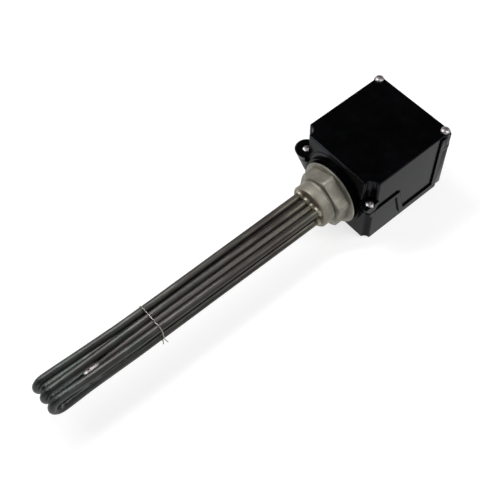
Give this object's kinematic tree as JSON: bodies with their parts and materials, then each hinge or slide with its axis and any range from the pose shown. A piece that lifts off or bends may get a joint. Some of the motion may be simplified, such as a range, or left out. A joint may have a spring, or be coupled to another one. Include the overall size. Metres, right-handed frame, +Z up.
{
  "type": "immersion heater",
  "caption": "Screw-in tubular immersion heater: hairpin heating elements and a sensor pocket brazed into a hexagon screw plug, with a two-part moulded terminal box behind it.",
  "frame": {"origin": "on the plug's axis, in the plane of the hexagon's front face that seats on the tank's boss", "axes": "+X along the plug's axis from the element bends towards the terminal box, +Y across the box, +Z up through the cover"},
  "size_m": [0.4671, 0.105, 0.0903],
  "materials": {
    "moulding": "glossy black moulding",
    "plug": "turned, dull nickel plate",
    "sheath": "drawn tube, greyed by annealing",
    "pocket": "drawn tube",
    "zinc": "bright zinc plate",
    "brass": "turned brass",
    "copper": "drawn copper",
    "ceramic": "unglazed",
    "rubber": "moulded",
    "grey_plastic": "moulded"
  },
  "bodies": {
    "heater": {"box_base": "moulding", "box_cover": "moulding", "bracket_screw_left": "zinc", "bracket_screw_right": "zinc", "capillary_tube": "copper", "cover_screw_front_left": "zinc", "cover_screw_front_right": "zinc", "cover_screw_rear_left": "zinc", "cover_screw_rear_right": "zinc", "cover_seal": "rubber", "earth_nut_lower": "brass", "earth_nut_upper": "brass", "earth_stud": "brass", "earth_washer": "zinc", "gland_body": "grey_plastic", "gland_cap": "grey_plastic", "gland_insert": "rubber", "gland_locknut": "grey_plastic", "gland_washer": "rubber", "heating_element_1": "sheath", "heating_element_2": "sheath", "heating_element_3": "sheath", "insulator_bead_lower_1": "ceramic", "insulator_bead_lower_2": "ceramic", "insulator_bead_lower_3": "ceramic", "insulator_bead_upper_1": "ceramic", "insulator_bead_upper_2": "ceramic", "insulator_bead_upper_3": "ceramic", "pin_nut_lower_1": "brass", "pin_nut_lower_2": "brass", "pin_nut_lower_3": "brass", "pin_nut_upper_1": "brass", "pin_nut_upper_2": "brass", "pin_nut_upper_3": "brass", "pin_washer_upper_1": "zinc", "pin_washer_upper_2": "zinc", "pin_washer_upper_3": "zinc", "plug_gasket": "rubber", "ring_nut": "brass", "screw_plug": "plug", "sensor_bulb": "copper", "sensor_pocket": "pocket", "star_link": "brass", "terminal_pin_lower_1": "zinc", "terminal_pin_lower_2": "zinc", "terminal_pin_lower_3": "zinc", "terminal_pin_upper_1": "zinc", "terminal_pin_upper_2": "zinc", "terminal_pin_upper_3": "zinc", "thermostat_body": "grey_plastic", "thermostat_bracket": "zinc", "wire_tie": "zinc"},
    "spindle": {"thermostat_spindle": "brass"}
  },
  "joints": [
    {"name": "spindle_turn", "type": "hinge", "parent": "heater", "child": "spindle", "pos_m": [0.0801, 0, -0.002], "axis": [0, 0, 1], "range_deg": [0, 270]}
  ]
}
